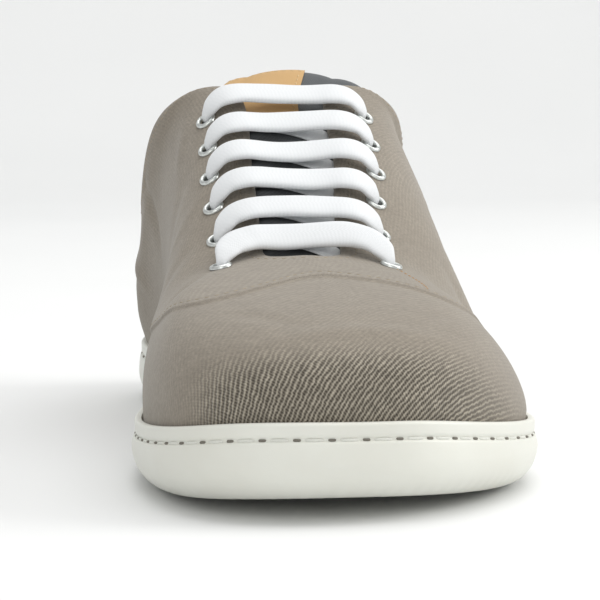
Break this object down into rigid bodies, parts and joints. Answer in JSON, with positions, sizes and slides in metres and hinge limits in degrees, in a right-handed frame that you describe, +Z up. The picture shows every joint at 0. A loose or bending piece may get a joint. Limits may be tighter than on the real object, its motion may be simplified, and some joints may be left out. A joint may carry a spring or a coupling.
{
  "type": "barefoot shoe",
  "caption": "Low lace-up barefoot shoe for the left foot, with a wide toe box, a hollow canvas upper, straight-bar lacing and a thin flat cup sole.",
  "frame": {"origin": "on the floor, under the middle of the shoe's box", "axes": "+Z up, -Y towards the toe, -X towards the big toe"},
  "size_m": [0.1069, 0.285, 0.1069],
  "materials": {
    "rubber": "smooth off-white moulded rubber, satin",
    "canvas": "taupe cotton twill canvas, matt",
    "footbed": "cloth-faced footbed, matt",
    "tongue_cloth": "dark grey cloth, matt",
    "tan_cloth": "bare tan tab, satin",
    "eyelet_metal": "pale silver metal, satin",
    "lace_cotton": "flat woven white cotton lace"
  },
  "bodies": {
    "root": {"sole": "rubber", "upper": "canvas", "insole": "footbed", "tongue": "tongue_cloth", "tongue_label": "tan_cloth", "eyelet_1": "eyelet_metal", "eyelet_2": "eyelet_metal", "eyelet_3": "eyelet_metal", "eyelet_4": "eyelet_metal", "eyelet_5": "eyelet_metal", "eyelet_6": "eyelet_metal", "eyelet_7": "eyelet_metal", "eyelet_8": "eyelet_metal", "eyelet_9": "eyelet_metal", "eyelet_10": "eyelet_metal", "eyelet_11": "eyelet_metal", "eyelet_12": "eyelet_metal", "lace_bar_1": "lace_cotton", "lace_bar_2": "lace_cotton", "lace_bar_3": "lace_cotton", "lace_bar_4": "lace_cotton", "lace_bar_5": "lace_cotton", "lace_bar_6": "lace_cotton"}
  },
  "joints": []
}
